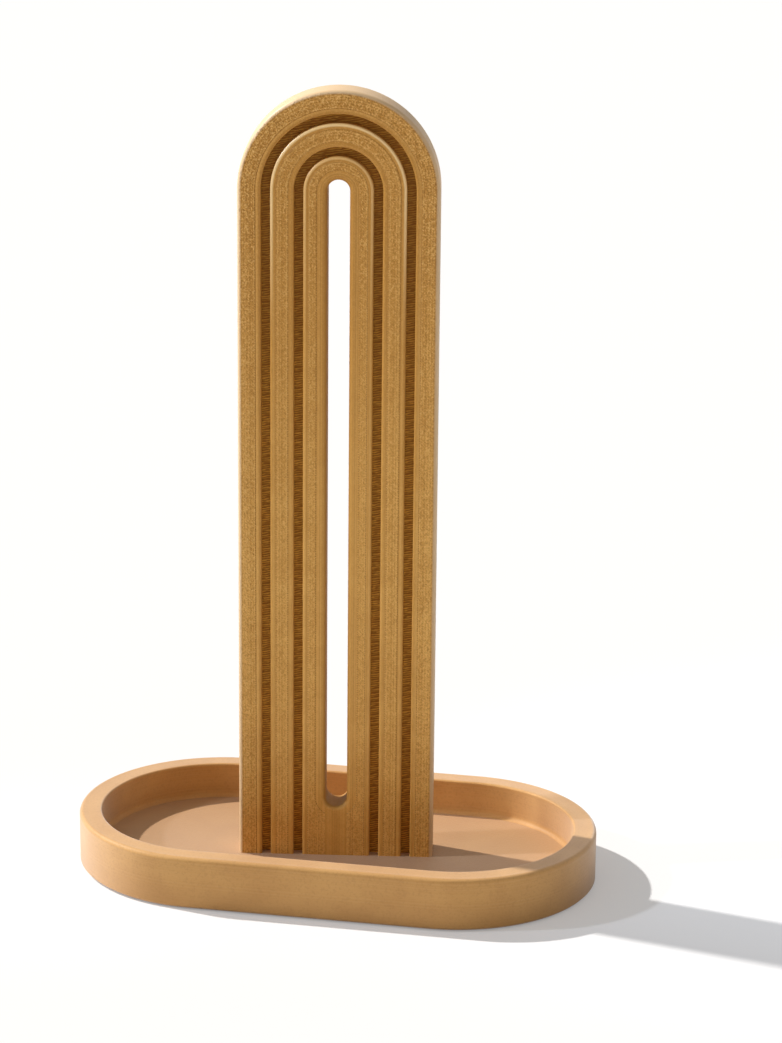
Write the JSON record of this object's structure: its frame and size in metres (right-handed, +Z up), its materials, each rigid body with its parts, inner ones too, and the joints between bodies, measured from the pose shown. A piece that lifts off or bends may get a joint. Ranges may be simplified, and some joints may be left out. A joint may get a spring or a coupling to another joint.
{
  "type": "hair tie holder",
  "caption": "Tall grooved arch with an open slot, turning on an oval rimmed tray, to hold hair ties and clips.",
  "frame": {"origin": "middle of the footprint, on the surface that the pads stand on", "axes": "+Z up, X along the tray's length, -Y towards the front"},
  "size_m": [0.184, 0.1, 0.278],
  "materials": {
    "tray_plastic": "wood-coloured printed filament, fine horizontal layer lines",
    "upright_plastic": "wood-coloured printed filament, printed flat, with outline passes round each band and raster lines in the grooves",
    "insert_brass": "turned brass, plain",
    "screw_steel": "zinc-plated steel",
    "washer_steel": "zinc-plated steel",
    "pad_rubber": "dark matt non-slip rubber"
  },
  "bodies": {
    "base": {"tray": "tray_plastic", "foot_pads": "pad_rubber", "washer": "washer_steel"},
    "arch": {"upright": "upright_plastic", "threaded_insert": "insert_brass", "pivot_screw": "screw_steel"}
  },
  "joints": [
    {"name": "swivel", "type": "hinge", "parent": "base", "child": "arch", "pos_m": [0, 0, 0.0065], "axis": [0, 0, 1], "continuous": true}
  ]
}
